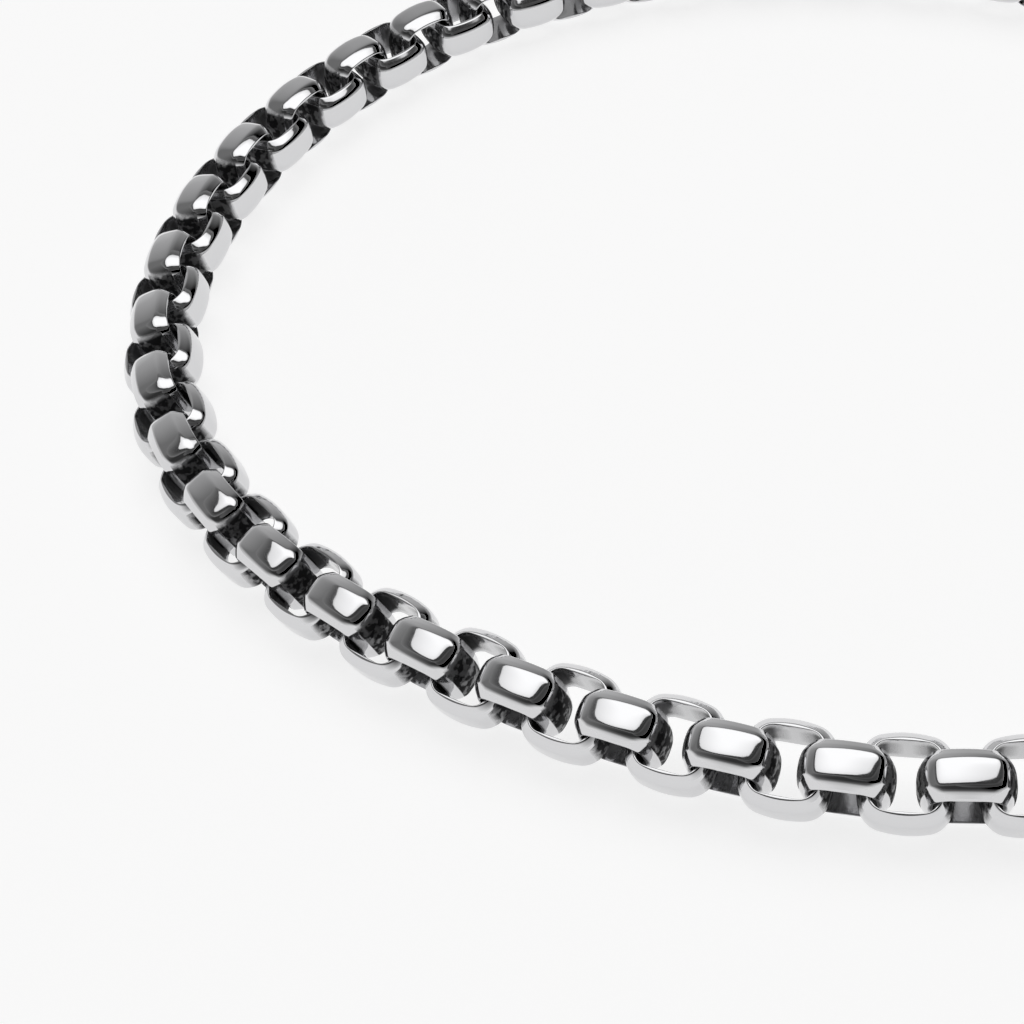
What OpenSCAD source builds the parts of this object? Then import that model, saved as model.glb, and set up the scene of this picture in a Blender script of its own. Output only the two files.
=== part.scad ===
/* [Chain] */
// Places round the loop, each one link long
slots = 86; // [84:2:86]
// Thickness of the chain, measured over a link's bulging walls
link_height = 4; // [3.9:0.05:4.2]
// Length of one link, over its two end bars
link_length = 3.96; // [3.94:0.02:4]
// Width of the band that each link is made of
band_width = 2.13; // [1.9:0.01:2.2]
// Height of a link's opening, between its side walls
opening_height = 2.92; // [2.8:0.02:3]
// Thickness of a link's end bar at its middle
end_bar = 0.65; // [0.6:0.01:0.66]
// Outward lean of the links on the loop's near side, about the chain's axis, in degrees
near_lean = 19; // [0:1:20]
// Outward lean of the links on the loop's far side, in degrees
far_lean = -3; // [-4:1:6]

/* [Loop] */
// Mean radius of the loop
loop_radius = 32.05; // [31.95:0.05:32.1]
// Share by which the loop is oval
oval = 0.09; // [0.06:0.01:0.1]
// Direction of the oval's long axis, in degrees
oval_turn = 149; // [140:1:160]
// Share by which the loop's four corners stand out
cornered = 0.01; // [0:0.002:0.012]

/* [Clasp] */
// Places from the clasp's middle to each of its end loops
clasp_reach = 3; // [3:2:5]
// Diameter of the clasp's barrel
barrel_diameter = 3.8; // [3.6:0.1:4]
// Rounding of the barrel's ends
barrel_rounding = 0.8; // [0.4:0.1:1.2]

/* [Hidden] */
$fn = 64;

steel = [0.76, 0.77, 0.78];
axis_height = link_height / 2;
half_length = link_length / 2;
half_opening = half_length - end_bar;

// Radii of a link's bulging walls and ends, of the corners between them, and of its window's corners
wall_bulge = 3.2;
end_bulge = 3.2;
corner_radius = 1.25;
window_corner = 0.42;

// An end bar's middle stands out past its edges by the crown, and the barrel would reach a little further
end_crown = 0.5;
barrel_excess = 0.04;
end_crown_radius = (pow(band_width / 2, 2) + pow(end_crown, 2)) / (2 * end_crown);

// Share of an end loop's bar that is sunk in the end of the clasp's barrel
barrel_seat = 0.6;

// Direction of the first place seen from the loop's middle, and the step at which the course is measured
first_angle = 265;
angle_step = 1;

// Course of the loop seen from above: its distance from the middle in each direction
function course_radius(angle) =
    loop_radius * (1 + oval * cos(2 * (angle - oval_turn)) + cornered * cos(4 * angle));
function course_point(angle) = course_radius(angle) * [cos(angle), sin(angle)];

// Length travelled clockwise along the course from the first place
angles = [for (turn = [0 : angle_step : 360]) first_angle - turn];
strides = [for (i = [1 : len(angles) - 1]) norm(course_point(angles[i]) - course_point(angles[i - 1]))];
function add_up(list, count) = count == 0 ? 0 : list[count - 1] + add_up(list, count - 1);
course_table = [for (i = [0 : len(angles) - 1]) [add_up(strides, i), angles[i]]];
course_length = add_up(strides, len(strides));
pitch = course_length / slots;

// A link's heading is measured over this share of a place to each side
heading_step = 0.25;
function wrapped(length) = length - course_length * floor(length / course_length);
function place(slot) = course_point(lookup(wrapped(slot * pitch), course_table));
function heading(from, to) = atan2(to[1] - from[1], to[0] - from[0]);
function slot_heading(slot) = heading(place(slot - heading_step), place(slot + heading_step));

// The chain twists over these places: from the near side's lean to the far side's, and back again
twist_away = [20, 34];
twist_back = [65, 83];
function eased(share) = share * share * (3 - 2 * share);
function passed(slot, span) = eased(min(max((slot - span[0]) / (span[1] - span[0]), 0), 1));
function lean(slot) = near_lean + (far_lean - near_lean) * (passed(slot, twist_away) - passed(slot, twist_back));

// Middle of the loop's box, which is moved to the origin
course = [for (angle = [0 : angle_step : 359]) course_point(angle)];
function middle_of(values) = (min(values) + max(values)) / 2;
middle = [middle_of([for (p = course) p[0]]), middle_of([for (p = course) p[1]])];

// Place of the clasp's middle, counted in links from the front of the loop
clasp_slot = 58;
clasp_first = clasp_slot - clasp_reach;
clasp_last = clasp_slot + clasp_reach;

// Point on the line from one point to another, well past the second one
function past(from, to) = from + 4 * (to - from);

// Outline of a link seen through its window: two walls and two ends, each an arc, and round corners
module link_outline() {
    wall_centre = [0, axis_height - wall_bulge];
    end_centre = [half_length + barrel_excess - end_bulge, 0];
    wall_reach = wall_bulge - corner_radius;
    end_reach = end_bulge - corner_radius;
    apart = norm(end_centre - wall_centre);
    toward = (end_centre - wall_centre) / apart;
    along = (pow(wall_reach, 2) - pow(end_reach, 2) + pow(apart, 2)) / (2 * apart);
    across = sqrt(pow(wall_reach, 2) - pow(along, 2));
    corner = wall_centre + along * toward + across * [toward[1], -toward[0]];
    wall_touch = wall_centre + (corner - wall_centre) * wall_bulge / wall_reach;
    end_touch = end_centre + (corner - end_centre) * end_bulge / end_reach;
    difference() {
        intersection() {
            translate(wall_centre) circle(wall_bulge);
            translate(-wall_centre) circle(wall_bulge);
            translate(end_centre) circle(end_bulge);
            translate(-end_centre) circle(end_bulge);
        }
        for (flip_x = [0, 1], flip_y = [0, 1]) mirror([flip_x, 0]) mirror([0, flip_y]) difference() {
            polygon([corner, past(corner, wall_touch), past(corner, end_touch)]);
            translate(corner) circle(corner_radius);
        }
    }
}

// Solid of revolution about the chain's axis, which gives the link its rounded outside
module link_barrel() {
    rotate([0, 90, 0]) rotate_extrude() intersection() {
        rotate(90) link_outline();
        translate([0, -link_length]) square([link_height, 2 * link_length]);
    }
}

// The band seen from outside: straight edges and crowned ends
module band_plan() {
    crown_centre = half_length - end_crown_radius;
    intersection() {
        square([link_length, band_width], center = true);
        union() {
            square([2 * crown_centre, 2 * band_width], center = true);
            for (side = [-1, 1]) translate([side * crown_centre, 0]) circle(end_crown_radius);
        }
    }
}

// Window of a link: a rectangle with round corners
module window() {
    inner = [2 * (half_opening - window_corner), opening_height - 2 * window_corner];
    square([inner[0], opening_height], center = true);
    square([2 * half_opening, inner[1]], center = true);
    for (x = [-1, 1], y = [-1, 1]) translate([x * inner[0] / 2, y * inner[1] / 2]) circle(window_corner);
}

// One closed link, lying along X, with its window facing Y
module link() {
    difference() {
        intersection() {
            link_barrel();
            linear_extrude(height = 2 * link_height, center = true) band_plan();
        }
        rotate([90, 0, 0]) linear_extrude(height = 2 * band_width, center = true) window();
    }
}

// Puts a link in its place on the loop; every second one is turned a quarter turn
module link_at(slot) {
    spot = place(slot) - middle;
    quarter = slot % 2 == 0 ? 0 : 90;
    translate([spot[0], spot[1], axis_height])
        rotate([0, 0, slot_heading(slot)])
            rotate([quarter - lean(slot % slots), 0, 0])
                link();
}

// Every link of the chain, from one end of the clasp round to the other
module chain() {
    color(steel) for (slot = [clasp_last + 1 : clasp_first + slots - 1]) link_at(slot);
}

// Plain closed barrel with an end loop at each end, which the chain's last links pass through
module clasp() {
    from = place(clasp_first);
    to = place(clasp_last);
    spot = (from + to) / 2 - middle;
    barrel_half = norm(to - from) / 2 - half_length + end_bar * barrel_seat;
    barrel_radius = barrel_diameter / 2;
    color(steel) union() {
        link_at(clasp_first);
        link_at(clasp_last);
        translate([spot[0], spot[1], axis_height])
            rotate([0, 90, heading(from, to)])
                rotate_extrude() {
                    translate([0, -barrel_half]) square([barrel_radius - barrel_rounding, 2 * barrel_half]);
                    translate([0, barrel_rounding - barrel_half])
                        square([barrel_radius, 2 * (barrel_half - barrel_rounding)]);
                    for (side = [-1, 1])
                        translate([barrel_radius - barrel_rounding, side * (barrel_half - barrel_rounding)])
                            circle(barrel_rounding);
                }
    }
}

chain();
clasp();
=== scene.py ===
import bpy
import numpy as np
from mathutils import Matrix, Vector


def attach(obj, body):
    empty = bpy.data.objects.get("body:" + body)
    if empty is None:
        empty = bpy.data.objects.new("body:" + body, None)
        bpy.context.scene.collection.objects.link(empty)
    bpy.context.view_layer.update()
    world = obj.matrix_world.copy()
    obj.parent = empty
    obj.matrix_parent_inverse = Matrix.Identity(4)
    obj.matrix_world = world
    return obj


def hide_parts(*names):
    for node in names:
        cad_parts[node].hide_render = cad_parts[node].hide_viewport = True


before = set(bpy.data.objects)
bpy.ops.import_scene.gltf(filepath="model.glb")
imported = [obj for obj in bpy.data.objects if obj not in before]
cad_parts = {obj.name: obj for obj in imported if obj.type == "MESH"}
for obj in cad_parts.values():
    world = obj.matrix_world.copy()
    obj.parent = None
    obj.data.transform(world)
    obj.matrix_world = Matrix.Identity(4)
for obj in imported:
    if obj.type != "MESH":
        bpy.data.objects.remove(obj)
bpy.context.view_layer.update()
MM = 0.001

# Camera. It stands in front of the loop and a little to its left, 74 mm above the table, and looks
# down at 46 degrees and a little to the right. It is turned about its own line of sight, and its
# long lens flattens the loop.
camera_place = Vector((-19.427, -81.377, 74.278)) * MM
look_down = np.radians(45.705)
look_right = np.radians(0.959)
camera_turn = np.radians(-9.864)
lens_in_pixels = 2204.5
picture_in_pixels = 1024
sensor_width = 36.0

level_sight = Vector((np.sin(look_right), np.cos(look_right), 0.0))
sight = level_sight * np.cos(look_down) - Vector((0.0, 0.0, np.sin(look_down)))
plain_right = Vector((np.cos(look_right), -np.sin(look_right), 0.0))
plain_up = plain_right.cross(sight)
right = plain_right * np.cos(camera_turn) + plain_up * np.sin(camera_turn)
up = plain_up * np.cos(camera_turn) - plain_right * np.sin(camera_turn)
camera_data = bpy.data.cameras.new("camera")
camera_data.sensor_width = sensor_width
camera_data.lens = lens_in_pixels / picture_in_pixels * sensor_width
camera_data.clip_start = 1 * MM
camera_data.clip_end = 10
camera = bpy.data.objects.new("camera", camera_data)
bpy.context.scene.collection.objects.link(camera)
camera_axes = Matrix((right, up, -sight)).transposed()
camera.matrix_world = Matrix.Translation(camera_place) @ camera_axes.to_4x4()
bpy.context.scene.camera = camera

# Chain. Every link is a closed ring of flat steel band, bent round a rounded rectangular window and
# polished after the chain was joined. Links of the same kind sit at every second place: the upright
# ones show a domed top, and the flat ones, a quarter turn on, show their two long walls.
places = 86
clasp_places = range(55, 62)
half_length = 1.98
half_height = 2.0
band_half = 1.065
side_radius = 4.8
corner_radius = 1.05
window_half_length = 1.33
window_half_height = 1.46
window_corner = 0.62

# The band's outside has a crest with a crease on each side of it, and falls away past the creases
crest_half = 0.66
crease_round = 0.15
wall_crest_drop, wall_edge_drop = 0.04, 0.4
end_crest_drop, end_edge_drop = 0.09, 0.42
crown_radius = (band_half**2 + end_edge_drop**2) / (2 * end_edge_drop)
edge_round = 0.03

# The loop's course is an oval whose radius follows two waves of the angle. Places lie at equal steps
# of length along it, clockwise seen from above, and its box is centred on the origin.
course_radius = 32.05
oval_wave, oval_axis = 0.09, np.radians(149)
square_wave = 0.01
first_degrees = 265
course_angle = np.radians(first_degrees - np.arange(361.0))


def course_point(angle):
    """Radius times direction. The radius is its mean times one, plus a wave with two crests a turn,
    which makes the oval, plus a slight wave with four."""
    oval = oval_wave * np.cos(2 * (angle - oval_axis))
    square = square_wave * np.cos(4 * angle)
    radius = course_radius * (1 + oval + square)
    return np.stack([radius * np.cos(angle), radius * np.sin(angle)], axis=-1)


course = course_point(course_angle)
course_steps = np.linalg.norm(np.diff(course, axis=0), axis=1)
course_length = np.concatenate([[0], np.cumsum(course_steps)])
course_middle = (course.min(axis=0) + course.max(axis=0)) / 2


def place(slot):
    """Point of the course at that many places from the first one, round and round."""
    along = np.mod(np.asarray(slot) * course_length[-1] / places, course_length[-1])
    angle = np.interp(along, course_length, course_angle)
    return course_point(angle) - course_middle


def heading(slot):
    """Angle of the course at a place, measured over a quarter of a place to each side."""
    aside = 0.25
    ahead = place(slot + aside) - place(slot - aside)
    return np.arctan2(ahead[..., 1], ahead[..., 0])


# The chain's twist: links on the near side lean outwards by near_lean degrees. Over the left side the
# lean changes by twist degrees, which leaves the far links almost upright, and over the right side it
# changes back.
near_lean = 19.0
twist = 22.0
twist_from, twist_places = 20, 14
untwist_from, untwist_places = 65, 18


def eased(share):
    """A share, held between 0 and 1, that starts and stops slowly: three squares less two cubes."""
    held = np.clip(share, 0, 1)
    return held * held * (3 - 2 * held)


def lean(slot):
    """Lean of a place in radians, negative outwards: the near lean, plus as much of the twist as has
    been passed and not yet passed back."""
    passed = eased((slot - twist_from) / twist_places) - eased((slot - untwist_from) / untwist_places)
    return np.radians(twist * passed - near_lean)


def band_drop(across, crest_drop, edge_drop):
    """How far the band's outside falls below its middle: slowly, by a fourth power, up to the crease,
    and then in a straight bevel down to the edge. A parabola rounds the crease itself."""
    aside = np.abs(across)
    crest = crest_drop * (np.minimum(aside, crest_half) / crest_half) ** 4
    past = aside - crest_half
    rounded = (past + crease_round) ** 2 / (4 * crease_round)
    bevel = np.where(np.abs(past) < crease_round, rounded, np.maximum(past, 0))
    return crest + bevel * (edge_drop - crest_drop) / (band_half - crest_half)


# Stations round a quarter of a link: along its wall, round its corner and down its end. The metal that
# is dark on the ends reaches dark_half across the band from its middle, after a fade of dark_fade.
wall_stations, corner_stations, end_stations = 8, 12, 5
quarter = wall_stations + corner_stations + end_stations
dark_half, dark_fade = 0.8, 0.14


def ring_surface(section):
    """A link as points on a grid, stations round the window times the points of the band's section.

    The outside has a wall, a corner and an end in each quarter, each an arc that meets the next one
    smoothly, and shrinks towards the band's two edges. The wall shrinks by its band drop, and the end
    by the mean of its band drop and the drop of a plain arc. The inside is the window, a rectangle
    with round corners. A section point says how far it lies across the band and its share of the way
    from the outside to the window.

    Each point also has its endness, how far its station faces the link's end: 0 at the middle of a
    wall, 1 at the middle of an end, and 0 everywhere near the band's edges."""
    station = np.arange(4 * quarter)
    folded = np.minimum(station % (2 * quarter), 2 * quarter - station % (2 * quarter))
    side_x = np.where(station < 2 * quarter, 1, -1)
    side_z = np.where((station < quarter) | (station > 3 * quarter), 1, -1)
    steps = [0, wall_stations, wall_stations + corner_stations, quarter]

    wall_centre = np.array([0, half_height - side_radius])
    end_centre = np.array([half_length - side_radius, 0])
    half_apart = np.linalg.norm(end_centre - wall_centre) / 2
    rise = np.sqrt((side_radius - corner_radius) ** 2 - half_apart**2)
    toward = (end_centre - wall_centre) / (2 * half_apart)
    corner_centre = (wall_centre + end_centre) / 2 + rise * np.array([toward[1], -toward[0]])
    wall_end = np.arctan2(*(corner_centre - wall_centre))
    corner_end = np.arctan2(*(corner_centre - end_centre))
    tilt = np.interp(folded, steps, [0, wall_end, corner_end, np.pi / 2])
    facing = np.stack([np.sin(tilt), np.cos(tilt)], axis=-1)
    side_centre = np.where((tilt < wall_end)[:, None], wall_centre, end_centre)
    on_corner = ((tilt >= wall_end) & (tilt <= corner_end))[:, None]
    corner_arc = corner_centre + corner_radius * facing
    side_arc = side_centre + side_radius * facing
    outline = np.where(on_corner, corner_arc, side_arc) / [half_length, half_height]

    across, share = section[:, 0], section[:, 1]
    height = half_height - band_drop(across, wall_crest_drop, wall_edge_drop)
    crown = crown_radius - np.sqrt(crown_radius**2 - across**2)
    length = half_length - (band_drop(across, end_crest_drop, end_edge_drop) + crown) / 2

    bend = np.interp(folded, steps, [0, 0, np.pi / 2, np.pi / 2])
    flat_x = np.interp(folded, steps, np.array([0, 1, 1, 1]) * (window_half_length - window_corner))
    flat_z = np.interp(folded, steps, np.array([1, 1, 1, 0]) * (window_half_height - window_corner))
    window_x = flat_x + window_corner * np.sin(bend)
    window_z = flat_z + window_corner * np.cos(bend)

    x = side_x[:, None] * (np.outer(outline[:, 0], length * (1 - share)) + np.outer(window_x, share))
    z = side_z[:, None] * (np.outer(outline[:, 1], height * (1 - share)) + np.outer(window_z, share))
    endness = np.outer(2 / np.pi * tilt, np.clip((dark_half - np.abs(across)) / dark_fade, 0, 1))
    return np.stack([x, np.broadcast_to(across, x.shape), z], axis=-1), endness


def band_section():
    """Points once round the band: the dome with its two creases, rounded edges, sides and window wall.

    A point is its millimetres across and its share of the way in. The points of a rounded edge are so
    many edge roundings back from the side and down from the face."""
    soft = edge_round / (half_height - wall_edge_drop - window_half_height)
    dome = [(across, 0) for across in (0, 0.15, 0.3, 0.42)]
    crease = [(crest_half + step * crease_round, 0) for step in (-1, -0.5, 0, 0.5, 1)]
    bevel = [(0.9, 0), (0.97, 0)]
    outer_edge = ((2, 0), (1, 0), (0.3, 0.3), (0, 1))
    outer = [(band_half - back * edge_round, down * soft) for back, down in outer_edge]
    inner_edge = ((0, 1), (0.3, 0.3), (1, 0), (3, 0))
    inner = [(band_half - back * edge_round, 1 - down * soft) for back, down in inner_edge]
    window = [(0.5, 1), (0, 1)]
    near = np.array([*dome, *crease, *bevel, *outer, (band_half, 0.5), *inner, *window], float)
    far = near[-2:0:-1] * [-1, 1]
    return np.concatenate([near, far])


def grid_faces(rows, next_rows, columns):
    """Four-sided faces on a grid of points, from each row to its next one. The columns close in a ring."""
    column = np.arange(columns)
    beside = (column + 1) % columns
    here, after = rows[:, None] * columns, next_rows[:, None] * columns
    corners = [here + column, here + beside, after + beside, after + column]
    return np.stack(corners, axis=-1).reshape(-1, 4)


def lay_links(slots):
    """Every slot's link, rolled about its own length, turned along the course and lifted on the table.

    Gives the points, the faces, each point's share of the way in to the window, and its endness."""
    section = band_section()
    ring, endness = ring_surface(section)
    slots = np.asarray(slots)
    spots = place(slots)
    turn = heading(slots)
    roll = lean(slots) + np.where(slots % 2 == 0, 0, np.pi / 2)
    x, y, z = ring[..., 0], ring[..., 1], ring[..., 2]
    cos_roll, sin_roll = np.cos(roll)[:, None, None], np.sin(roll)[:, None, None]
    side = y * cos_roll - z * sin_roll
    rise = y * sin_roll + z * cos_roll
    cos_turn, sin_turn = np.cos(turn)[:, None, None], np.sin(turn)[:, None, None]
    points = np.stack([
        spots[:, 0, None, None] + x * cos_turn - side * sin_turn,
        spots[:, 1, None, None] + x * sin_turn + side * cos_turn,
        half_height + rise,
    ], axis=-1)
    stations, rounds = ring.shape[:2]
    station = np.arange(stations)
    quads = grid_faces(station, (station + 1) % stations, rounds)
    faces = quads[None] + (np.arange(len(slots)) * stations * rounds)[:, None, None]
    inside = np.broadcast_to(section[:, 1], points.shape[:3])
    endness = np.broadcast_to(endness, points.shape[:3])
    return points.reshape(-1, 3) * MM, faces.reshape(-1, 4), inside.reshape(-1), endness.reshape(-1)


def surface(name, points, faces, **shares):
    """A smooth-shaded mesh object from whole arrays, with one float attribute for each of the shares."""
    mesh = bpy.data.meshes.new(name)
    mesh.from_pydata(points.tolist(), [], [list(face) for face in faces])
    for label, values in shares.items():
        attribute = mesh.attributes.new(label, "FLOAT", "POINT")
        attribute.data.foreach_set("value", np.ascontiguousarray(values, np.float32))
    mesh.shade_smooth()
    piece = bpy.data.objects.new(name, mesh)
    bpy.context.scene.collection.objects.link(piece)
    return piece


class Socket:
    """A shader socket that adds its own Math nodes when it is used in a sum."""

    def __init__(self, tree, output):
        self.tree = tree
        self.output = output

    def math(self, operation, *others):
        node = self.tree.nodes.new("ShaderNodeMath")
        node.operation = operation
        for entry, value in zip(node.inputs, (self, *others)):
            if isinstance(value, Socket):
                self.tree.links.new(value.output, entry)
            else:
                entry.default_value = value
        return Socket(self.tree, node.outputs[0])

    def __add__(self, other):
        return self.math("ADD", other)

    def __sub__(self, other):
        return self.math("SUBTRACT", other)

    def __rsub__(self, other):
        return (self * -1.0) + other

    def __mul__(self, other):
        return self.math("MULTIPLY", other)

    __radd__ = __add__
    __rmul__ = __mul__

    def clamped(self):
        return self.math("MAXIMUM", 0.0).math("MINIMUM", 1.0)

    def between(self, low, high):
        """0 below low, 1 above high and straight between them."""
        return ((self - low) * (1 / (high - low))).clamped()


class Shading:
    """A node tree. node() adds any node from its type, its settings and the values of its sockets."""

    def __init__(self, tree):
        self.tree = tree

    def node(self, kind, settings=None, inputs=None, output=0):
        node = self.tree.nodes.new("ShaderNode" + kind)
        for name, value in (settings or {}).items():
            setattr(node, name, value)
        for name, value in (inputs or {}).items():
            self.feed(node.inputs[name], value)
        return Socket(self.tree, node.outputs[output])

    def feed(self, entry, value):
        if isinstance(value, Socket):
            self.tree.links.new(value.output, entry)
        else:
            entry.default_value = value


class Finish(Shading):
    """A material on one Principled shader."""

    def __init__(self, name):
        self.material = bpy.data.materials.new(name)
        self.material.use_nodes = True
        super().__init__(self.material.node_tree)
        self.shader = self.tree.nodes["Principled BSDF"]

    def set(self, **values):
        for name, value in values.items():
            self.feed(self.shader.inputs[name.replace("_", " ")], value)

    def attribute(self, name):
        """The number of that name that each point of the mesh carries."""
        return self.node("Attribute", {"attribute_name": name}, output="Fac")

    def noise(self, lumps_per_metre):
        """Noise that stays in its place in the metal."""
        spot = self.node("TexCoord", output="Object")
        return self.node("TexNoise", {}, {"Vector": spot, "Scale": lumps_per_metre, "Detail": 3.0})

    def relief(self, strength, depth, height):
        """Bumps whose height is a share of the depth, which is in metres."""
        return self.node("Bump", {}, {"Strength": strength, "Distance": depth, "Height": height})

    def colours(self, factor, low, high):
        """The colour that runs from low to high as the factor runs from 0 to 1."""
        factor_entry, low_entry, high_entry, colour_output = 0, 6, 7, 2
        mixed = self.node("Mix", {"data_type": "RGBA"}, output=colour_output)
        entries = mixed.output.node.inputs
        self.feed(entries[factor_entry], factor)
        self.feed(entries[low_entry], (*low, 1.0))
        self.feed(entries[high_entry], (*high, 1.0))
        return mixed


# Steel is bright outside. Its window is darkened by painted shade, most round the window's corners, and
# its ends are dark oxide deepened by painted shade. The ranges say over which share of the way in the
# window sets in, over which endness its corners and the ends set in, and over which noise a patch does.
# The other values say how dark each of them is.
bright_steel, shade_and_oxide_steel = (0.68, 0.68, 0.69), (0.02, 0.02, 0.021)
window_range, corner_range, end_range, patch_range = (0.9, 1.0), (0.03, 0.3), (0.58, 0.8), (0.4, 0.52)
window_painted_shade, corner_painted_shade, end_oxide_and_shade, patch_dark = 0.15, 0.65, 0.62, 0.36
metal_lost = 0.9


def paint_shade_and_oxide(steel, patches):
    """Gives steel its bright colour outside, and a dark, hardly metallic one for painted shade and oxide.

    Dark is a share: a little painted shade in the window, more of it round the window's corners, and
    most on the crest of the ends, which are dark oxide with painted shade, mottled by patches of noise.
    That share is also what this returns."""
    window = steel.attribute("inside").between(*window_range)
    endness = steel.attribute("endness")
    corner, end = endness.between(*corner_range), endness.between(*end_range)
    # Painted shade in the window, and more of it round the window's corners
    painted_window_shade = window * (corner * corner_painted_shade + window_painted_shade)
    # On the ends dark oxide, deepened by painted shade and a painted dark reflection of the next link
    oxide_and_shade_on_ends = end * (patches.between(*patch_range) * patch_dark + end_oxide_and_shade)
    dark = (painted_window_shade + oxide_and_shade_on_ends).clamped()
    steel.set(
        Base_Color=steel.colours(dark, bright_steel, shade_and_oxide_steel),
        Metallic=1 - dark * metal_lost,
        Specular_IOR_Level=0.0,
    )
    return dark


# The polish isn't quite flat. Ripples, and patches in the dark metal, stand up by a share of the depth
patches_per_metre, ripples_per_metre = 3000.0, 900.0
polished_roughness, ripple_roughness, dark_roughness = 0.05, 0.04, 0.15
relief_strength, relief_depth, ripple_height = 0.4, 0.04 * MM, 0.04
polished_steel = Finish("polished_steel")
patches = polished_steel.noise(patches_per_metre)
ripples = polished_steel.noise(ripples_per_metre)
dark = paint_shade_and_oxide(polished_steel, patches)
polished_steel.set(
    Roughness=dark * dark_roughness + ripples * ripple_roughness + polished_roughness,
    Normal=polished_steel.relief(relief_strength, relief_depth, ripples * ripple_height + patches * dark),
)

# The links are made as four pieces, by kind and by half of the loop. Upright links hold the even places
upright, flat = 0, 1
half_way = 40
for name, kind, first, last in (
    ("upright_links_left", upright, 0, half_way),
    ("upright_links_right", upright, half_way, places),
    ("flat_links_left", flat, 0, half_way),
    ("flat_links_right", flat, half_way, places),
):
    slots = [slot for slot in range(first, last) if slot % 2 == kind and slot not in clasp_places]
    points, faces, inside, endness = lay_links(slots)
    links = surface(name, points, faces, inside=inside, endness=endness)
    links.data.materials.append(polished_steel.material)
    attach(links, "root")
    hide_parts("chain")

# Clasp. A plain closed barrel of the same steel, turned on a lathe and polished less than the links, so
# that fine turning marks run round it. A loop of band is sunk in each end, and the chain's last links
# pass through the two loops.
loop_slots = [55, 61]
barrel_radius = 1.9
barrel_rounding = 0.8
barrel_seat = 0.39
barrel_rounds = 96
rounding_rings, side_rings = 12, 29
end_rings = [0.4, 0.8]
loop_ends = place(np.array(loop_slots))
barrel_line = loop_ends[1] - loop_ends[0]
barrel_length = np.linalg.norm(barrel_line)
barrel_half = barrel_length / 2 - half_length + barrel_seat


def turned_barrel():
    """The barrel's outline, a flat end, a round corner and a straight side, carried round its axis.

    Each end is closed by a fan of triangles about a point on the axis. Gives the points, the faces
    and each point's place along the axis."""
    bend = np.linspace(0, np.pi / 2, rounding_rings)
    end_radius = np.concatenate([end_rings, barrel_radius - barrel_rounding * (1 - np.sin(bend))])
    end_flat = np.full(len(end_rings), barrel_half)
    end_along = np.concatenate([end_flat, barrel_half - barrel_rounding * (1 - np.cos(bend))])
    side = np.linspace(-1, 1, side_rings + 2)[1:-1] * (barrel_half - barrel_rounding)
    radius = np.concatenate([end_radius, np.full(side_rings, barrel_radius), end_radius[::-1]])
    along = np.concatenate([-end_along, side, end_along[::-1]])

    angle = np.linspace(0, 2 * np.pi, barrel_rounds, endpoint=False)
    axis = np.array([*barrel_line, 0]) / barrel_length
    out, top = np.array([axis[1], -axis[0], 0]), np.array([0, 0, 1])
    spoke = np.cos(angle)[:, None] * out + np.sin(angle)[:, None] * top
    middle = np.array([*loop_ends.mean(axis=0), half_height])
    rings = middle + along[:, None, None] * axis + radius[:, None, None] * spoke
    poles = middle + np.array([[-barrel_half], [barrel_half]]) * axis

    ring = np.arange(len(along) - 1)
    quads = grid_faces(ring, ring + 1, barrel_rounds)
    here = np.arange(barrel_rounds)
    beside = (here + 1) % barrel_rounds
    last, total = (len(along) - 1) * barrel_rounds, len(along) * barrel_rounds
    first_fan = np.stack([beside, here, np.full(barrel_rounds, total)], axis=-1)
    last_fan = np.stack([last + here, last + beside, np.full(barrel_rounds, total + 1)], axis=-1)
    points = np.concatenate([rings.reshape(-1, 3), poles])
    marks = np.concatenate([np.repeat(along, barrel_rounds), [-barrel_half, barrel_half]])
    return points * MM, [*quads, *first_fan, *last_fan], marks


loop_points, loop_faces, inside, endness = lay_links(loop_slots)
barrel_points, barrel_faces, marks = turned_barrel()
clasp = surface(
    "clasp_barrel",
    np.concatenate([loop_points, barrel_points]),
    [*loop_faces, *(face + len(loop_points) for face in barrel_faces)],
    inside=np.append(inside, np.zeros(len(marks))),
    endness=np.append(endness, np.zeros(len(marks))),
    along=np.append(np.zeros(len(inside)), marks),
)

# The turning marks are noise along the barrel, which is measured in millimetres
lines_per_mm = 14.0
turned_roughness, line_roughness = 0.08, 0.12
line_strength, line_depth = 0.1, 0.02 * MM
turned_steel = Finish("turned_steel")
# The clasp's loops get the same painted shade in their windows, and oxide with painted shade on their ends
paint_shade_and_oxide(turned_steel, turned_steel.noise(patches_per_metre))
line_pattern = {"W": turned_steel.attribute("along"), "Scale": lines_per_mm, "Detail": 5.0}
lines = turned_steel.node("TexNoise", {"noise_dimensions": "1D"}, line_pattern)
turned_steel.set(
    Roughness=lines * line_roughness + turned_roughness,
    Normal=turned_steel.relief(line_strength, line_depth, lines),
)
clasp.data.materials.append(turned_steel.material)
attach(clasp, "root")
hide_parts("clasp")

# Table and studio. A white table that glows a little keeps the background even. A long softbox hangs
# over the loop in a wide dark frame, with a dark flag beyond its near edge. These panels show in the
# steel alone, and a wide sun that the steel doesn't show gives the soft shadows.
table_half = 3.0
table_corners = [(-1, -1), (1, -1), (1, 1), (-1, 1)]
table_mesh = bpy.data.meshes.new("table")
table_mesh.from_pydata([(x * table_half, y * table_half, 0) for x, y in table_corners], [], [(0, 1, 2, 3)])
table = bpy.data.objects.new("table", table_mesh)
bpy.context.scene.collection.objects.link(table)
white = Finish("white_table")
white.set(
    Base_Color=(0.35, 0.35, 0.35, 1.0),
    Roughness=0.9,
    Emission_Color=(1.0, 1.0, 1.0, 1.0),
    Emission_Strength=0.775,
)
table_mesh.materials.append(white.material)

panel_sides = 64
panel_power = 0.6


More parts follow.
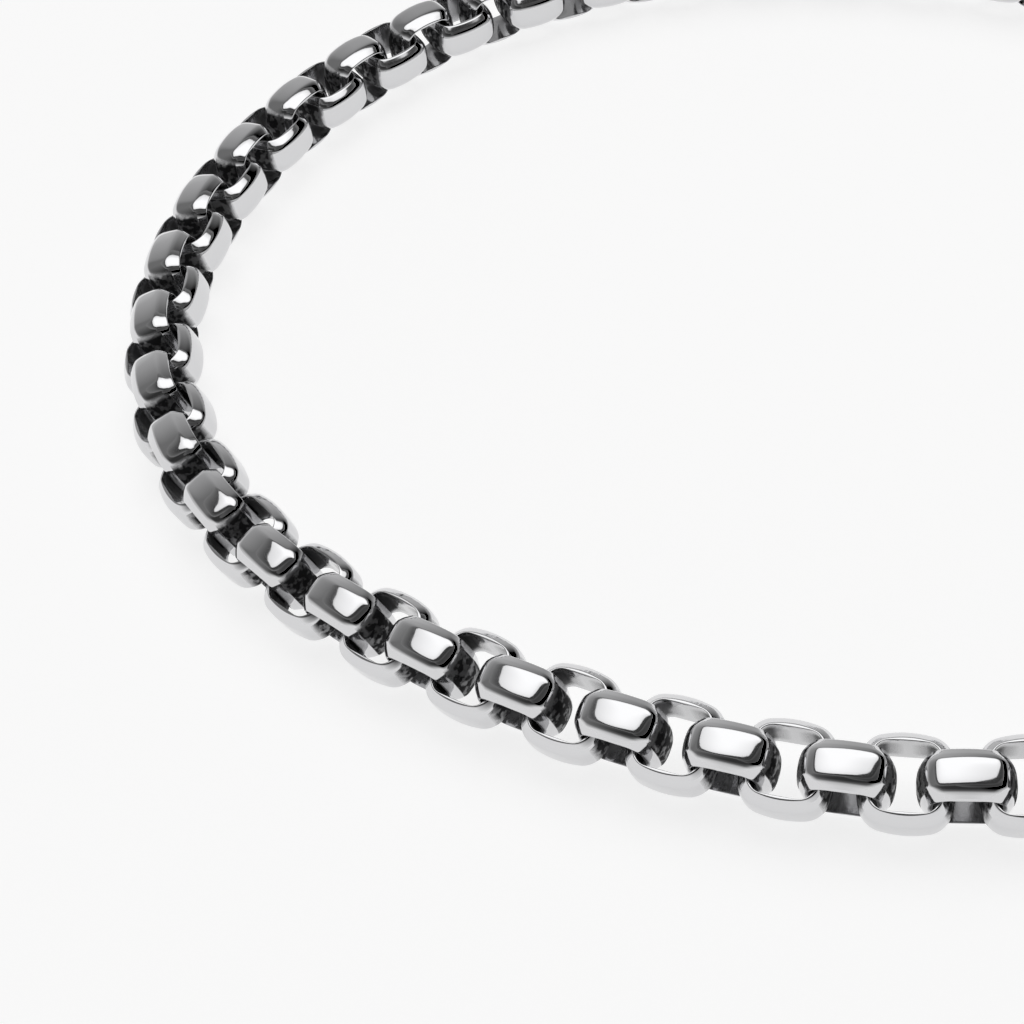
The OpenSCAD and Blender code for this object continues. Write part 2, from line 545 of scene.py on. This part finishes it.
def panel(name, middle, half_size, turn, brightness, rim_brightness, fade):
    """A level glowing sheet with round corners, seen in the steel alone.

    Its outline is a superellipse: cosine and sine to the panel power, times the two half sizes. Its
    glow changes evenly to that of the rim from the share of its size that fade gives."""
    angle = np.linspace(0, 2 * np.pi, panel_sides, endpoint=False)
    circle = np.stack([np.cos(angle), np.sin(angle)], axis=-1)
    outline = np.sign(circle) * np.abs(circle) ** panel_power * half_size
    outline = outline @ np.array([[np.cos(turn), np.sin(turn)], [-np.sin(turn), np.cos(turn)]])
    level = np.concatenate([outline * fade, outline]) + middle[:2]
    points = np.concatenate([level, np.full((2 * panel_sides, 1), middle[2])], axis=1) * MM
    inner = np.arange(panel_sides)
    after = (inner + 1) % panel_sides
    border = np.stack([inner, inner + panel_sides, after + panel_sides, after], axis=-1)
    sheet = surface(name, points, [inner, *border], rim=np.repeat([0.0, 1.0], panel_sides))
    glow = Finish(name)
    glow.set(
        Base_Color=(0.0, 0.0, 0.0, 1.0),
        Emission_Strength=1.0,
        Emission_Color=glow.colours(glow.attribute("rim"), (brightness,) * 3, (rim_brightness,) * 3),
    )
    sheet.data.materials.append(glow.material)
    sheet.visible_camera = False
    sheet.visible_diffuse = False
    sheet.visible_shadow = False


panel("softbox", (16, 1, 90), (88, 48), np.radians(5), brightness=1.42, rim_brightness=1.0, fade=0.6)
panel("frame", (32, -8, 93), (140, 76), np.radians(5), brightness=0.02, rim_brightness=0.2, fade=0.75)
panel("flag", (48, -98, 89), (90, 38), np.radians(12), brightness=0.02, rim_brightness=0.08, fade=0.6)

sun_data = bpy.data.lights.new("key", "SUN")
sun_data.energy = 1.0
sun_data.angle = np.radians(60)
sun = bpy.data.objects.new("key", sun_data)
bpy.context.scene.collection.objects.link(sun)
sun.rotation_euler = (np.radians(-20), np.radians(10), 0)
sun.visible_glossy = False

# The room round them is grey. It is lighter low down, and at the back higher up too, and it is darker
# to the right and high up in front.
room_grey, low_light, back_light = 0.2, 0.75, 0.38
front_shade, right_shade = 0.16, 0.3
world = bpy.data.worlds.new("studio")
world.use_nodes = True
room = Shading(world.node_tree)
direction = room.node("TexCoord", output="Generated")
east, north, height = (room.node("SeparateXYZ", {}, {"Vector": direction}, axis) for axis in "XYZ")
low = (0.3 - height).between(0.0, 0.25) * (1 - north.clamped() * 0.9)
back = (north * 1.5 - 0.6).clamped()
high_front = (north * -1.5).clamped() * height.between(0.25, 0.45)
lit = room_grey + low * low_light + back * back_light
brightness = lit - high_front * front_shade - east.clamped() * right_shade
background = world.node_tree.nodes["Background"]
room.feed(background.inputs["Strength"], brightness)
room.feed(background.inputs["Color"], (1.0, 1.0, 1.0, 1.0))
bpy.context.scene.world = world
bpy.context.scene.view_settings.view_transform = "Standard"
